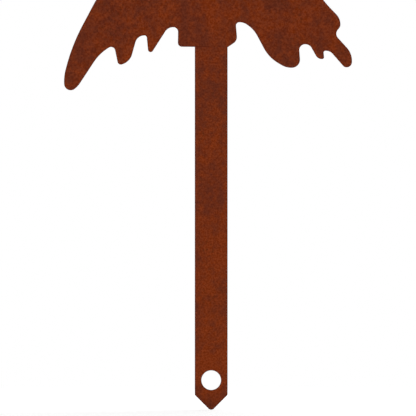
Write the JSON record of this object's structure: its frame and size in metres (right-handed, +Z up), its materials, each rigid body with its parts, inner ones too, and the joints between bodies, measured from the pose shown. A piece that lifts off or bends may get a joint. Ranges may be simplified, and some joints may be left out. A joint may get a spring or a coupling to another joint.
{
  "type": "plant stake",
  "caption": "Flat fir-tree silhouette of rusted weathering-steel sheet, welded to the front of a pointed flat-bar stake with a round hole near its tip, pushed into soil.",
  "frame": {"origin": "tip of the stake's point, on the bar's centre line and at mid thickness of the bar", "axes": "+Z up along the bar, +Y square to the sheet and pointing to the back, so the front faces -Y and +X is to the right in the picture"},
  "size_m": [0.2198, 0.005, 0.6002],
  "materials": {
    "sheet_patina": "matte",
    "bar_patina": "matte",
    "weld_patina": "matte"
  },
  "bodies": {
    "root": {"tree_plate": "sheet_patina", "stake_bar": "bar_patina", "weld_lower_left": "weld_patina", "weld_lower_right": "weld_patina", "weld_upper_left": "weld_patina", "weld_upper_right": "weld_patina"}
  },
  "joints": []
}
